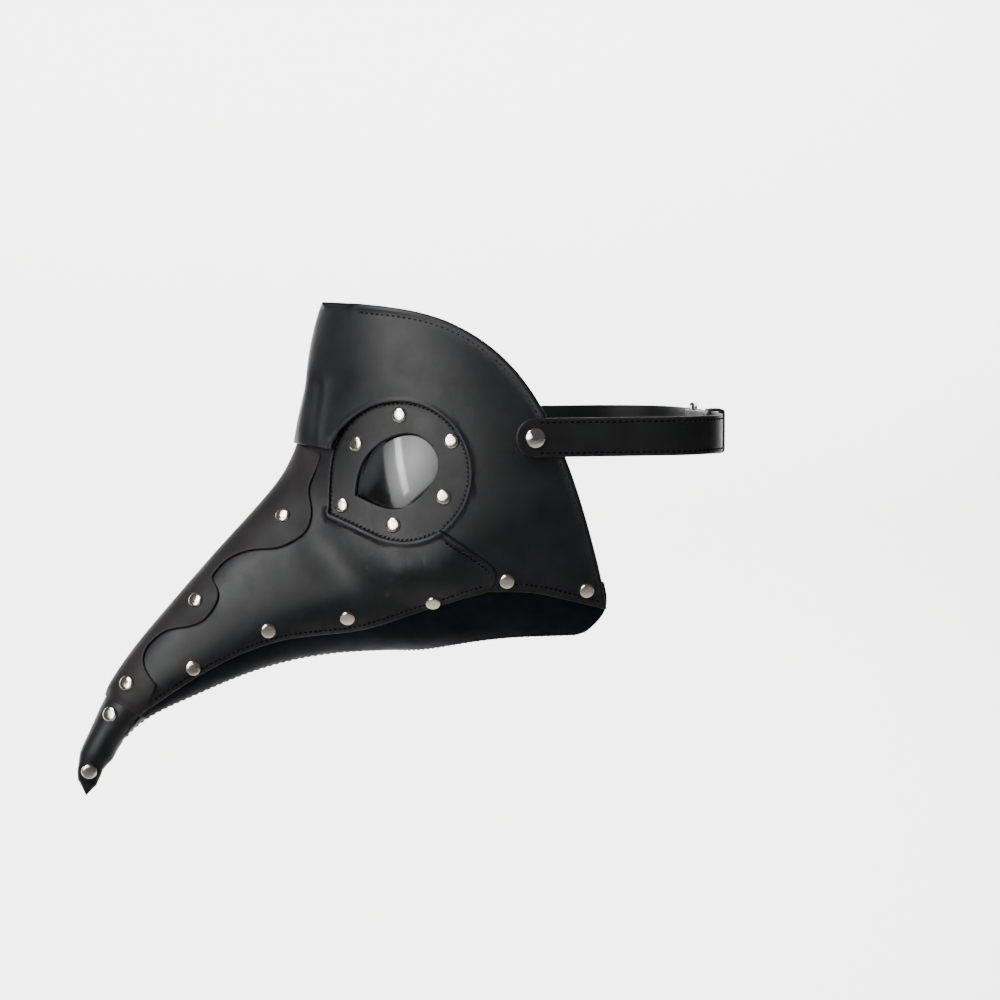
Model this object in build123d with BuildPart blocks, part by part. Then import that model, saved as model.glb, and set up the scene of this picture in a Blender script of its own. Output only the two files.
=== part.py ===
"""Plague doctor mask: a riveted leather beak with two lenses and a buckled head strap.

Millimetres. +Z is up, the beak points toward -Y and the wearer's left side is +X. The origin
lies midway between the two lenses, so the mask is symmetric about the plane X = 0.
"""

import os
from math import cos, hypot, pi, sin

from build123d import *

os.makedirs("parts", exist_ok=True)

# ---------------------------------------------------------------- driving dimensions
LEATHER = 1.6            # thickness of the outer leather panels
LINER = 1.6              # thickness of the lower panels and eye plates, which lie under them
TRIM = 1.5               # thickness of the ridge strip
LENS = 1.4               # thickness of the clear lens
RETAINER = 1.5           # thickness of the ring that holds the lens from inside
GAP = 0.1                # air between two layers that lie on each other
SEAM = 0.1               # half the width of a butt joint on the midline

RIVET_HEAD = 4.0         # radius of a rivet's domed cap
RIVET_RISE = 1.9         # height of the dome
RIVET_POST = 1.3
RIVET_HOLE = 1.4
RIVET_WASHER = 3.0       # radius of the flat washer inside
WASHER_THICK = 0.8
WASHER_SINK = 0.5        # the washer stands off a curved inside by this much

TEMPLE = (66, 20)        # (y, z) of the stud that each strap end turns on
STUD_POST = 1.9
STUD_HOLE = 1.96
STUD_HEAD = 5.0
STUD_COLLAR = 3.5

STRAP_WIDTH = 20.0
STRAP_THICK = 2.0
STRAP_SIDE = 81.0        # x of the strap's middle where it runs along the temples
STRAP_BACK = 177.5       # y of its middle where it crosses the back of the head
STRAP_CORNER = 40.0      # radius of the turn between the two

BAR = 1.5                # radius of the buckle's wire
HEEL_X = -8.0            # x of the bar that the left strap is folded round
FOLD = BAR + 0.05 + STRAP_THICK / 2
HEEL = (HEEL_X, STRAP_BACK + FOLD)
FRONT = (HEEL_X - 22, HEEL[1] + 9.2)     # the bar that carries the roller
ROLLER = 2.6
BILLET_BACK = 185.3      # y of the right strap's middle where it enters the buckle
BILLET_END = 181.9       # y of its middle where it lies on the left strap
PRONG = 1.1
PRONG_HOLE = 2.8
HOLE_PITCH = 12.0
HOLE_X = HEEL_X - 9      # x of the strap hole that the prong is in

# Each section of the form lies in a plane that holds the X direction, and the planes fan out
# from the beak's tip to the nape: ridge (y, z), seam below (y, z), half width, how far down
# the widest place is as a share of the depth, fullness above it and fullness below it
# (2 is an ellipse, less is pointed, more is boxy).
SECTIONS = [
    ((-156, -166.5), (-151.5, -168.5), 2.0, 0.50, 1.90, 1.9),
    ((-157.5, -153), (-146.5, -157), 4.7, 0.50, 1.90, 1.9),
    ((-151, -136), (-138, -144), 7.5, 0.52, 1.90, 1.8),
    ((-144, -121), (-127, -132), 10.5, 0.55, 1.80, 1.7),
    ((-129, -97), (-102, -119), 16.0, 0.60, 1.70, 1.6),
    ((-107, -71), (-74, -108), 22.0, 0.62, 1.70, 1.6),
    ((-79, -40), (-45, -100), 29.0, 0.62, 1.65, 1.6),
    ((-54, -13), (-16, -96.5), 38.0, 0.62, 1.55, 1.8),
    ((-40.5, 9), (14, -96), 49.0, 0.62, 1.45, 2.2),
    ((-36, 40), (50, -96), 60.0, 0.62, 1.40, 2.6),
    ((-31, 72), (90, -96), 70.0, 0.62, 1.45, 3.0),
    ((-18, 103), (130, -96), 76.0, 0.60, 1.60, 3.2),
    ((13, 125), (170, -96), 78.0, 0.58, 1.80, 3.2),
    ((45, 134), (205, -96), 78.0, 0.56, 2.00, 3.2),
]
LAST = len(SECTIONS) - 1
STEPS = 12               # points that carry each half section


def form_point(index, turn):
    """Point of section `index`; turn runs from 0 at the ridge to pi at the seam below."""
    ridge, seam, half_width, widest, above, below = SECTIONS[index]
    upper = cos(turn) > 0
    fullness = above if upper else below
    reach = (abs(sin(turn)) ** fullness + abs(cos(turn)) ** fullness) ** (-1 / fullness)
    depth = widest - (widest if upper else 1 - widest) * reach * cos(turn)
    return Vector(
        half_width * reach * sin(turn),
        ridge[0] + depth * (seam[0] - ridge[0]),
        ridge[1] + depth * (seam[1] - ridge[1]),
    )


def section_plane(index):
    """Plane of a section: local x is X, local y runs from the ridge down to the seam."""
    ridge, seam = SECTIONS[index][:2]
    down = Vector(0, seam[0] - ridge[0], seam[1] - ridge[1]).normalized()
    return Plane(origin=(0, *ridge), x_dir=(1, 0, 0), z_dir=Vector(1, 0, 0).cross(down))


def lifted_point(index, turn, lift):
    """Form point moved outward in its own plane, so that the true offset is `lift`."""
    nudge = 0.02
    around = form_point(index, turn + nudge) - form_point(index, turn - nudge)
    along = form_point(min(index + 1, LAST), turn) - form_point(max(index - 1, 0), turn)
    outward = around.cross(along).normalized()
    in_plane = around.cross(section_plane(index).z_dir * -1).normalized()
    if in_plane.dot(outward) < 0:
        in_plane = in_plane * -1
    return form_point(index, turn) + in_plane * (lift / in_plane.dot(outward))


def form(lift, first=0, last=LAST):
    """Solid form, offset by `lift`, lofted from section `first` to section `last`."""
    with BuildPart() as body:
        for index in range(first, last + 1):
            plane = section_plane(index)
            turns = [pi * step / STEPS for step in range(STEPS + 1)]
            points = [plane.to_local_coords(lifted_point(index, turn, lift)) for turn in turns]
            with BuildSketch(plane):
                with BuildLine():
                    half = Spline(*points, tangents=[(1, 0, 0), (-1, 0, 0)])
                    mirror(half, about=Plane.YZ)
                make_face()
        loft()
    return body.part


def outlined(outline, inside, outside, both=False):
    """Leather between two lifts of the form, cut to a side-view outline drawn in (y, z)."""
    with BuildPart() as piece:
        with BuildSketch(Plane.YZ.offset(0 if both else SEAM)):
            with BuildLine():
                outline()
            make_face()
        extrude(amount=100, both=both)
        add(outside, mode=Mode.INTERSECT)
        if inside is not None:
            add(inside, mode=Mode.SUBTRACT)
    return piece.part


def seat(surface, place):
    """Plane on the left half of `surface` at side-view place (y, z), facing outward."""
    line = Axis((0, *place), (1, 0, 0))
    hits = [hit for face in surface.faces() for hit in face.find_intersection_points(line)]
    point, normal = max(hits, key=lambda hit: hit[0].X)
    if normal.X < 0:
        normal = normal * -1
    return Plane(origin=point, z_dir=normal)


def other_side(seats):
    """The same planes on the right side of the mask."""
    return [
        Plane(origin=(-s.origin.X, s.origin.Y, s.origin.Z), z_dir=(-s.z_dir.X, s.z_dir.Y, s.z_dir.Z))
        for s in seats
    ]


def rivet(grip, washer=True):
    """Domed rivet that stands on XY and clamps `grip` of leather below it."""
    foot = -grip - WASHER_SINK
    with BuildPart() as body:
        with BuildSketch(Plane.XZ):
            with BuildLine():
                TangentArc((0, RIVET_RISE), (RIVET_HEAD, 0.4), tangent=(1, 0))
                Polyline((RIVET_HEAD, 0.4), (RIVET_HEAD, 0.05), (RIVET_POST, 0.05), (RIVET_POST, foot))
                if washer:
                    low = foot - WASHER_THICK
                    Polyline((RIVET_POST, foot), (RIVET_WASHER, foot), (RIVET_WASHER, low), (0, low))
                else:
                    low = foot
                    Line((RIVET_POST, foot), (0, foot))
                Line((0, low), (0, RIVET_RISE))
            make_face()
        revolve(axis=Axis.Z)
    return body.part


def rivet_row(seats, grip, washer=True):
    """One rivet at each seat, as one part."""
    one = rivet(grip, washer)
    with BuildPart() as row:
        with Locations(*seats):
            add(one)
    return row.part


def drilled(piece, seats, radius=RIVET_HOLE):
    """The piece with a round hole through it at each seat."""
    with BuildPart() as result:
        add(piece)
        with Locations(*seats):
            Cylinder(radius, 16, mode=Mode.SUBTRACT)
    return result.part


def save(part, name):
    """Label a finished piece and write its file."""
    part.label = name
    export_step(part, f"parts/{name}.step")


def save_pair(part, name):
    """Write a left piece and its mirror image on the right."""
    save(part, f"{name}_left")
    with BuildPart() as right:
        mirror(part, about=Plane.YZ)
    save(right.part, f"{name}_right")


# ---------------------------------------------------------------- the form and its offsets
TRIM_LIFT = LEATHER + GAP + TRIM
LINER_TOP = -GAP
LINER_LOW = LINER_TOP - LINER
LENS_TOP = LINER_LOW - GAP
LENS_LOW = LENS_TOP - LENS
RETAINER_TOP = LENS_LOW - GAP
RETAINER_LOW = RETAINER_TOP - RETAINER

base = form(0)
leather_top = form(LEATHER)
trim_low = form(LEATHER + GAP)
trim_top = form(TRIM_LIFT)
liner_top = form(LINER_TOP)
liner_low = form(LINER_LOW, first=3)
lens_top = form(LENS_TOP, first=6)
lens_low = form(LENS_LOW, first=6)
retainer_top = form(RETAINER_TOP, first=6)
retainer_low = form(RETAINER_LOW, first=6)

# ---------------------------------------------------------------- places of the rivets (y, z)
RIDGE_PLACES = [(-50.8, -23), (-95.9, -66.8), (-131.8, -109)]
TIP_PLACES = [(-141.2, -124.4), (-152.6, -153.7)]
LOWER_PLACES = [
    (-100.2, -99.8), (-62.4, -80.3), (-22.4, -73.8), (19, -65.7), (54.7, -53.7), (96.1, -59.1),
]
EYE_PLACES = [(-24.5, -16), (-17, 15.7), (2.9, 30.9), (26.9, 18), (22.6, -10.6), (-1.2, -25.4)]

# planes that the rivets and studs stand on
ridge_seats = [seat(trim_top, place) for place in RIDGE_PLACES]
tip_seats = [seat(leather_top, place) for place in TIP_PLACES]
lower_seats = [seat(leather_top, place) for place in LOWER_PLACES]
eye_seats = [seat(liner_top, place) for place in EYE_PLACES]
temple_seat = Plane(origin=(STRAP_SIDE, *TEMPLE), z_dir=(1, 0, 0))

# ---------------------------------------------------------------- outlines in side view (y, z)
EYE = (3.6, 1.9)                 # middle of the round window cut in the panels
EYE_HALF_Y = 31.3
EYE_HALF_Z = 35.5
EYE_CORNER = (-29.9, -20.3)      # the window's pointed corner, low and forward
BROW = [(-39, 13.9), (-31.4, 12.8), (-25.3, 11.6)]                 # seam between face and beak
CHEEK = [(21, -27.5), (34, -36.4), (45.8, -44.6)]                  # seam below the eye
CHEEK_END = [(48.8, -49), (48.6, -55.5), (46.5, -59.6)]
HEM = [
    (46.5, -59.6), (26.2, -66.7), (-13.6, -80.4), (-54.4, -85.6), (-75.1, -92.2), (-127.4, -124.2),
]
CHEEK_HEM = [(46.5, -59.6), (71.3, -60.7), (84.7, -63.8), (108, -69.5)]
CAP_TOP = (-139, -113.5)
CAP_HEEL = (-136, -138)
JAW_END = (108, -69.5)


def eye_window(scale=1.0):
    """Round window with one pointed corner: an ellipse and two tangents from the corner."""
    half_y = EYE_HALF_Y * scale
    half_z = EYE_HALF_Z * scale
    corner = (EYE[0] + (EYE_CORNER[0] - EYE[0]) * scale, EYE[1] + (EYE_CORNER[1] - EYE[1]) * scale)
    arc = EllipticalCenterArc(EYE, half_y, half_z, start_angle=246.5, arc_size=287.5)
    Line(arc @ 1, corner)
    Line(corner, arc @ 0)


def lens_hole(scale=1.0):
    """Rounded hole of the eye plate, flatter in front and pointed low and forward."""
    middle = (0.5, 2)
    corner = (-18.4, -10.6)
    shape = [corner, (-14.5, 6), (-3, 18.5), (9.5, 21), (20, 9), (13.5, -8.5), (1.5, -17), corner]
    Spline(*[(middle[0] + (y - middle[0]) * scale, middle[1] + (z - middle[1]) * scale) for y, z in shape])


def side_outline():
    """Beak side: from the ridge to the hem, from the cap to the cheek seam."""
    Spline(*BROW)
    Polyline(BROW[-1], EYE, CHEEK[0])
    Spline(*CHEEK)
    Spline(CHEEK[-1], *CHEEK_END)
    Spline(*HEM)
    Polyline(HEM[-1], CAP_TOP, (-170, -105), (-90, 25), BROW[0])


def face_outline():
    """Forehead and cheeks: everything above and behind the beak side."""
    Spline(*BROW)
    Polyline(BROW[-1], EYE, CHEEK[0])
    Spline(*CHEEK)
    Spline(CHEEK[-1], *CHEEK_END)
    Spline(*CHEEK_HEM)
    Spline(JAW_END, (98, -35), (79, 20), (58, 56), (25, 80), (-14, 88))
    Polyline((-14, 88), (-60, 90), (-60, 16), BROW[0])


def lower_outline():
    """Jaw: from under the hem down to the seam below, and back to the rear edge."""
    Spline((-127.4, -124.2), (-92, -93), (-64, -78), (-22, -66), (19, -57), (50, -46))
    Spline((50, -46), (75, -48), (96, -51), (105.5, -56))
    Spline((105.5, -56), (108, -69.5), (100, -84), (95.5, -98))
    Polyline((95.5, -98), (90, -110), (-60, -115), (-128, -150), CAP_HEEL, (-127.4, -124.2))


def strip_outline():
    """Ridge strip: a scalloped edge with a lobe at each rivet, pointed at its lower corners."""
    Spline(
        (-31.5, 18), (-31.5, 11.6), (-37.5, -10), (-38.7, -24.5), (-48, -35.4), (-65.6, -40.5),
        (-80.4, -47.2), (-87.1, -55), (-85.6, -64.5), (-94.1, -76.5), (-110.3, -82),
        (-122.1, -93.1), (-121.5, -104.5), (-118.3, -108.8),
    )
    Polyline((-118.3, -108.8), (-127.4, -124.2), (-141.4, -116.3), (-170, -105), (-90, 25), (-31.5, 18))


def cap_outline():
    """Cap over the beak's tip, open at its lower end where the core shows."""
    Polyline(
        CAP_TOP, (-127.6, -124.4), CAP_HEEL, (-120, -150), (-140, -158.5), (-150, -157),
        (-170, -155.5), (-170, -105), CAP_TOP,
    )


def core_outline():
    """Core of the tip, down to its point."""
    Polyline((-170, -117), (-143, -119), CAP_HEEL, (-120, -150), (-140, -180), (-170, -180), (-170, -117))


# ---------------------------------------------------------------- beak and face leather
eye_prism = outlined(eye_window, None, trim_top, both=True)

side_panel = drilled(outlined(side_outline, base, leather_top) - eye_prism, ridge_seats + lower_seats)
save_pair(side_panel, "side_panel")

face_holes = lower_seats + other_side(lower_seats)
face_blank = outlined(face_outline, base, leather_top, both=True)
with BuildPart() as face_panel:
    add(drilled(face_blank - eye_prism, face_holes))
    with Locations(temple_seat):
        Cylinder(STUD_HOLE, 400, mode=Mode.SUBTRACT)
save(face_panel.part, "face_panel")

lower_blank = outlined(lower_outline, liner_low, liner_top)
with BuildPart() as lower_panel:
    add(drilled(lower_blank, lower_seats))
    # the throat: open below from the chin back
    with BuildSketch(Plane.XY.offset(-120)):
        with BuildLine():
            Spline((0, 12), (28, 32), (46, 60), (57, 110))
            Polyline((57, 110), (-5, 110), (-5, 12), (0, 12))
        make_face()
    extrude(amount=60, mode=Mode.SUBTRACT)
save_pair(lower_panel.part, "lower_panel")

both_ridge = ridge_seats + other_side(ridge_seats)
save(drilled(outlined(strip_outline, trim_low, trim_top, both=True), both_ridge), "ridge_strip")

both_tip = tip_seats + other_side(tip_seats)
save(drilled(outlined(cap_outline, base, leather_top, both=True), both_tip), "tip_cap")
save(drilled(outlined(core_outline, None, liner_top, both=True), both_tip), "tip_core")

# ---------------------------------------------------------------- eyes
plate_blank = outlined(lambda: eye_window(1.15), liner_low, liner_top)
hole_prism = outlined(lens_hole, None, trim_top)
save_pair(drilled(plate_blank - hole_prism, eye_seats), "eye_plate")
save_pair(outlined(lambda: lens_hole(1.16), lens_low, lens_top), "lens")
inner_hole = outlined(lambda: lens_hole(1.05), None, trim_top)
retainer_blank = outlined(eye_window, retainer_low, retainer_top)
save_pair(drilled(retainer_blank - inner_hole, eye_seats), "lens_retainer")

# ---------------------------------------------------------------- rivets
save_pair(rivet_row(ridge_seats, TRIM_LIFT), "ridge_rivets")
save_pair(rivet_row(tip_seats, LEATHER, washer=False), "tip_rivets")
save_pair(rivet_row(lower_seats, LEATHER - LINER_LOW), "lower_rivets")
save_pair(rivet_row(eye_seats, LINER_TOP - RETAINER_LOW), "eye_rivets")

# stud at the temple: washer inside, post, collar under the strap and a domed head
STUD_PROFILE = [
    (71.4, 0), (71.4, 4), (72.5, 4), (72.5, STUD_POST), (76.2, STUD_POST), (76.2, STUD_COLLAR),
    (79.7, STUD_COLLAR), (79.7, STUD_POST), (82.3, STUD_POST), (82.3, STUD_HEAD), (82.8, STUD_HEAD),
]
with BuildPart() as temple_stud:
    with BuildSketch(Plane.XY):
        with BuildLine():
            Polyline(*STUD_PROFILE)
            TangentArc((84.6, 0), STUD_PROFILE[-1], tangent=(0, 1))
            Line((84.6, 0), STUD_PROFILE[0])
        make_face()
    revolve(axis=Axis.X)
stud_part = Pos(0, *TEMPLE) * temple_stud.part
save_pair(stud_part, "temple_stud")

# ---------------------------------------------------------------- head strap
STRAP_LOW = TEMPLE[1] - STRAP_WIDTH / 2
STRAP_START = TEMPLE[0] - STRAP_WIDTH / 2


def strap(draw_path):
    """Flat strap of one width along a path drawn in plan view."""
    with BuildPart() as band:
        with BuildSketch(Plane.XY.offset(STRAP_LOW)):
            with BuildLine():
                draw_path()
            trace(line_width=STRAP_THICK)
        extrude(amount=STRAP_WIDTH)
        fillet(band.edges().filter_by(Axis.X).group_by(Axis.Y)[0], radius=STRAP_WIDTH / 2 - 0.5)
        with Locations(temple_seat):
            Cylinder(STUD_HOLE, 400, mode=Mode.SUBTRACT)
    return band.part


def left_path():
    """Back from the left temple, across the back and folded round the heel bar."""
    FilletPolyline(
        (STRAP_SIDE, STRAP_START), (STRAP_SIDE, STRAP_BACK), (HEEL_X, STRAP_BACK), radius=STRAP_CORNER
    )
    CenterArc(HEEL, FOLD, start_angle=270, arc_size=-180)
    fold_top = HEEL[1] + FOLD
    lap = STRAP_BACK + STRAP_THICK + GAP
    FilletPolyline(
        (HEEL_X, fold_top), (HEEL_X + 3, fold_top), (HEEL_X + 12, lap), (HEEL_X + 32, lap), radius=6
    )


def right_path():
    """Back from the right temple, through the buckle and onto the left strap."""
    FilletPolyline(
        (-STRAP_SIDE, STRAP_START), (-STRAP_SIDE, BILLET_BACK), (HEEL_X + 2, BILLET_BACK),
        (HEEL_X + 20, BILLET_END), (HEEL_X + 46, BILLET_END), radius=[STRAP_CORNER, 20, 20],
    )


with BuildPart() as strap_left:
    add(strap(left_path))
    # slot in the fold for the prong
    with Locations((HEEL_X, HEEL[1], TEMPLE[1])):
        Box(8, 12, 6, mode=Mode.SUBTRACT)
save(strap_left.part, "strap_left")

with BuildPart() as strap_right:
    add(strap(right_path))
    for number in range(-1, 5):
        middle = (HOLE_X + number * HOLE_PITCH, BILLET_BACK, TEMPLE[1])
        with Locations(Plane(origin=middle, z_dir=(0, 1, 0))):
            Cylinder(PRONG_HOLE, 20, mode=Mode.SUBTRACT)
save(strap_right.part, "strap_right")

# ---------------------------------------------------------------- buckle
REACH = hypot(FRONT[0] - HEEL[0], FRONT[1] - HEEL[1])
buckle_plane = Plane(
    origin=(*HEEL, TEMPLE[1]),
    x_dir=(FRONT[0] - HEEL[0], FRONT[1] - HEEL[1], 0),
    z_dir=(FRONT[1] - HEEL[1], HEEL[0] - FRONT[0], 0),
)
HALF = STRAP_WIDTH / 2 + 2.3      # from the buckle's middle to the middle of its side wires
WIRE_GAP = 0.2                    # the bent wire's two ends meet on the heel bar
with BuildPart() as buckle_frame:
    with BuildLine(buckle_plane):
        FilletPolyline(
            (0, 0), (0, HALF), (REACH, HALF), (REACH, -HALF), (0, -HALF), (0, -WIRE_GAP), radius=2
        )
    with BuildSketch(Plane(origin=(*HEEL, TEMPLE[1]), z_dir=(0, 0, 1))):
        Circle(BAR)
    sweep()
save(buckle_frame.part, "buckle_frame")

with BuildPart() as buckle_roller:
    with BuildSketch(Plane(origin=(*FRONT, TEMPLE[1]), z_dir=(0, 0, 1))):
        Circle(ROLLER)
        Circle(BAR + 0.06, mode=Mode.SUBTRACT)
    extrude(amount=9.5, both=True)
save(buckle_roller.part, "buckle_roller")

PRONG_REST = FRONT[1] + ROLLER + PRONG + 0.1
with BuildPart() as buckle_prong:
    with BuildLine(Plane.XY.offset(TEMPLE[1])) as prong_line:
        FilletPolyline(
            (HEEL_X - 1.8, HEEL[1] + 0.9), (HOLE_X + 1.2, HEEL[1] + 2.7), (HOLE_X - 1.5, HEEL[1] + 8.2),
            (HOLE_X - 8.5, PRONG_REST), (FRONT[0] - 3, PRONG_REST), radius=1.6,
        )
    with BuildSketch(Plane(origin=prong_line.line @ 0, z_dir=prong_line.line % 0)):
        Circle(PRONG)
    sweep()
    with BuildSketch(Plane(origin=(*HEEL, TEMPLE[1]), z_dir=(0, 0, 1))):
        Circle(BAR + 1.4)
    extrude(amount=1.5, both=True)
    with BuildSketch(Plane(origin=(*HEEL, TEMPLE[1]), z_dir=(0, 0, 1))):
        Circle(BAR + 0.06)
    extrude(amount=5, both=True, mode=Mode.SUBTRACT)
save(buckle_prong.part, "buckle_prong")

# keeper: a loop of strap leather round both straps, past the end of the fold
KEEPER_LOW = STRAP_BACK - STRAP_THICK / 2 - 0.3
KEEPER_HIGH = BILLET_END + STRAP_THICK / 2 + 0.3
with BuildPart() as strap_keeper:
    middle = (HEEL_X + 39, (KEEPER_LOW + KEEPER_HIGH) / 2, TEMPLE[1])
    with BuildSketch(Plane(origin=middle, x_dir=(0, 1, 0), z_dir=(1, 0, 0))):
        RectangleRounded(KEEPER_HIGH - KEEPER_LOW + 3, STRAP_WIDTH + 3.8, 2)
        Rectangle(KEEPER_HIGH - KEEPER_LOW, STRAP_WIDTH + 0.8, mode=Mode.SUBTRACT)
    extrude(amount=3.5, both=True)
save(strap_keeper.part, "strap_keeper")
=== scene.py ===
# %% [markdown]
# # A plague doctor mask in black leather
# The mask is sewn and riveted from flat pieces of faux leather: two beak sides, two jaw pieces,
# a forehead that runs down into the cheeks, a scalloped strip over the ridge and a small cap on
# the tip. The frame fixes where all of it sits. This script gives each piece its real thickness,
# rounded edges, rims, thread and finish.

import bpy
import numpy as np
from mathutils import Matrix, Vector
from mathutils.geometry import delaunay_2d_cdt


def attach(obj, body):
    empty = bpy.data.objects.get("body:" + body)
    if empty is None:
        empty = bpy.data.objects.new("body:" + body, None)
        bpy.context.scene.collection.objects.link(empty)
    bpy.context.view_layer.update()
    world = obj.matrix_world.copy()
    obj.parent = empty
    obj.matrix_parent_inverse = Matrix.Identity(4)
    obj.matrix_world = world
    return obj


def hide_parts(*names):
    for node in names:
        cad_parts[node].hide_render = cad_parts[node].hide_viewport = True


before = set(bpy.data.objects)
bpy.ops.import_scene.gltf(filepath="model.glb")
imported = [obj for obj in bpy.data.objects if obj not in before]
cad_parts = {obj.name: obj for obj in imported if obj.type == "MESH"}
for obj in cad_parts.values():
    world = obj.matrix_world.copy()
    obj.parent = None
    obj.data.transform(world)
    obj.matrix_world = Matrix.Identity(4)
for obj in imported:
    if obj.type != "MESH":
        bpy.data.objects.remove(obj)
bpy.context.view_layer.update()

# %% [markdown]
# ## The form under the leather
# Every panel lies on one smooth form, so the form comes first. It is a fan of cross-sections
# from the beak's tip to the nape. Each section is a superellipse, pointed on the ridge and
# fuller towards the jaw, and a natural cubic spline carries its numbers from section to section.

# %% Sections of the form, in millimetres
MM = 0.001
# ridge y, ridge z, seam y, seam z, half width, share of the depth at the widest place,
# fullness above it, fullness below it
SECTIONS = np.array([
    [-156, -166.5, -151.5, -168.5, 2.0, 0.50, 1.90, 1.9],
    [-157.5, -153, -146.5, -157, 4.7, 0.50, 1.90, 1.9],
    [-151, -136, -138, -144, 7.5, 0.52, 1.90, 1.8],
    [-144, -121, -127, -132, 10.5, 0.55, 1.80, 1.7],
    [-129, -97, -102, -119, 16.0, 0.60, 1.70, 1.6],
    [-107, -71, -74, -108, 22.0, 0.62, 1.70, 1.6],
    [-79, -40, -45, -100, 29.0, 0.62, 1.65, 1.6],
    [-54, -13, -16, -96.5, 38.0, 0.62, 1.55, 1.8],
    [-40.5, 9, 14, -96, 49.0, 0.62, 1.45, 2.2],
    [-36, 40, 50, -96, 60.0, 0.62, 1.40, 2.6],
    [-31, 72, 90, -96, 70.0, 0.62, 1.45, 3.0],
    [-18, 103, 130, -96, 76.0, 0.60, 1.60, 3.2],
    [13, 125, 170, -96, 78.0, 0.58, 1.80, 3.2],
    [45, 134, 205, -96, 78.0, 0.56, 2.00, 3.2],
])


def spline_bend(at, values):
    """Second derivatives of the natural cubic spline through the rows of values."""
    gap = np.diff(at)
    inner = np.arange(1, len(at) - 1)
    system = np.eye(len(at))
    system[inner, inner] = 2 * (gap[:-1] + gap[1:])
    system[inner, inner - 1] = gap[:-1]
    system[inner, inner + 1] = gap[1:]
    right = np.zeros(values.shape)
    right[inner] = 6 * np.diff(np.diff(values, axis=0) / gap[:, None], axis=0)
    return np.linalg.solve(system, right)


def spline_at(at, values, bend, where):
    """Spline rows at `where`: the two nearest rows mixed, plus a cubic term for each."""
    low = np.clip(np.searchsorted(at, where, side="right") - 1, 0, len(at) - 2)
    gap = (at[low + 1] - at[low])[..., None]
    far = (where - at[low])[..., None] / gap
    near = 1 - far
    curve = (near ** 3 - near) * bend[low] + (far ** 3 - far) * bend[low + 1]
    return near * values[low] + far * values[low + 1] + curve * gap ** 2 / 6


middle_line = (SECTIONS[:, 0:2] + SECTIONS[:, 2:4]) / 2
STATION = np.concatenate([[0], np.cumsum(np.hypot(*np.diff(middle_line, axis=0).T))])
BEND = spline_bend(STATION, SECTIONS)


def form(s, t):
    """Point of the bare form: s runs along the beak, t from 0 on the ridge to 1 at the seam
    below, negative on the wearer's right. In each section the distance from the middle is
    (|sin|^n + |cos|^n)^(-1/n) of the half width and of the depth."""
    s, t = np.broadcast_arrays(np.asarray(s, float), np.asarray(t, float))
    row = spline_at(STATION, SECTIONS, BEND, s)
    ridge, seam = row[..., 0:2], row[..., 2:4]
    half_width, widest, above, below = np.moveaxis(row[..., 4:8], -1, 0)
    turn = np.pi * np.abs(t)
    upper = turn < np.pi / 2
    full = np.where(upper, above, below)
    reach = (np.abs(np.sin(turn)) ** full + np.abs(np.cos(turn)) ** full) ** (-1 / full)
    depth = widest - np.where(upper, widest, 1 - widest) * reach * np.cos(turn)
    yz = ridge + depth[..., None] * (seam - ridge)
    x = np.sign(t) * half_width * reach * np.sin(turn)
    return np.concatenate([x[..., None], yz], axis=-1)


print("form runs", round(STATION[-1]), "mm from tip to nape")

# %% [markdown]
# ## Dents and swellings
# Leather is stiff, so where it is pulled round the eye it buckles: a hollow runs under the eye
# with a swelling behind it, and a valley runs down each side of the forehead. Each is a soft
# ridge along a line, and the form moves along its own normal by the sum of them.

# %% The worked surface
# line in side view (y, z) or in space (x, y, z), width and height of the ridge along it
DENTS = [
    ([(-36, -36), (-29, -47), (-18, -58), (-4, -67), (14, -71), (32, -68)], 11.5, -2.6),
    ([(4, -49), (20, -49)], 12.0, 3.4),
    ([(11, -31, 46), (12, -32, 30), (13.5, -33, 14)], 6.5, -1.6),
    ([(18, -30, 46), (20, -30, 30), (22, -31, 14)], 13.0, -1.5),
]


def from_line(points, line):
    """Distance of each point from a polyline, in any number of dimensions."""
    start, step = line[:-1], np.diff(line, axis=0)
    out = np.empty(len(points))
    for first in range(0, len(points), 4000):
        part = points[first:first + 4000, None, :] - start[None]
        share = np.clip((part * step).sum(-1) / np.maximum((step ** 2).sum(-1), 1e-12), 0, 1)
        out[first:first + 4000] = np.linalg.norm(part - share[..., None] * step, axis=-1).min(1)
    return out


def unit(vectors):
    """The vectors scaled to length one."""
    return vectors / np.maximum(np.linalg.norm(vectors, axis=-1, keepdims=True), 1e-12)


def run_length(points):
    """Distance along a polyline at each of its points."""
    return np.concatenate([[0], np.cumsum(np.linalg.norm(np.diff(points, axis=0), axis=1))])


def eased(share):
    """3 u^2 - 2 u^3: rises from 0 to 1 and is flat at both ends."""
    return share * share * (3 - 2 * share)


def normals(surface, s, t):
    """Outward unit normals: the cross product of the differences along t and along s."""
    along = surface(s + 0.4, t) - surface(s - 0.4, t)
    around = surface(s, t + 0.002) - surface(s, t - 0.002)
    return unit(np.cross(around, along))


def worked(s, t):
    """The form moved along its normal by height * exp(-(distance / width)^2) per dent."""
    point = form(s, t)
    flat = point.reshape(-1, 3).copy()
    flat[:, 0] = np.abs(flat[:, 0])
    move = np.zeros(len(flat))
    for line, width, height in DENTS:
        line = np.array(line, float)
        away = from_line(flat[:, 3 - line.shape[1]:], line)
        move += height * np.exp(-(away / width) ** 2)
    return point + normals(form, s, t) * move.reshape(point.shape[:-1])[..., None]


stations = np.linspace(0, STATION[-1], 300)
arcs = form(stations[:, None], np.linspace(0, 1, 200)[None, :])
GIRTH = np.linalg.norm(np.diff(arcs, axis=1), axis=-1).sum(1)


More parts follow.
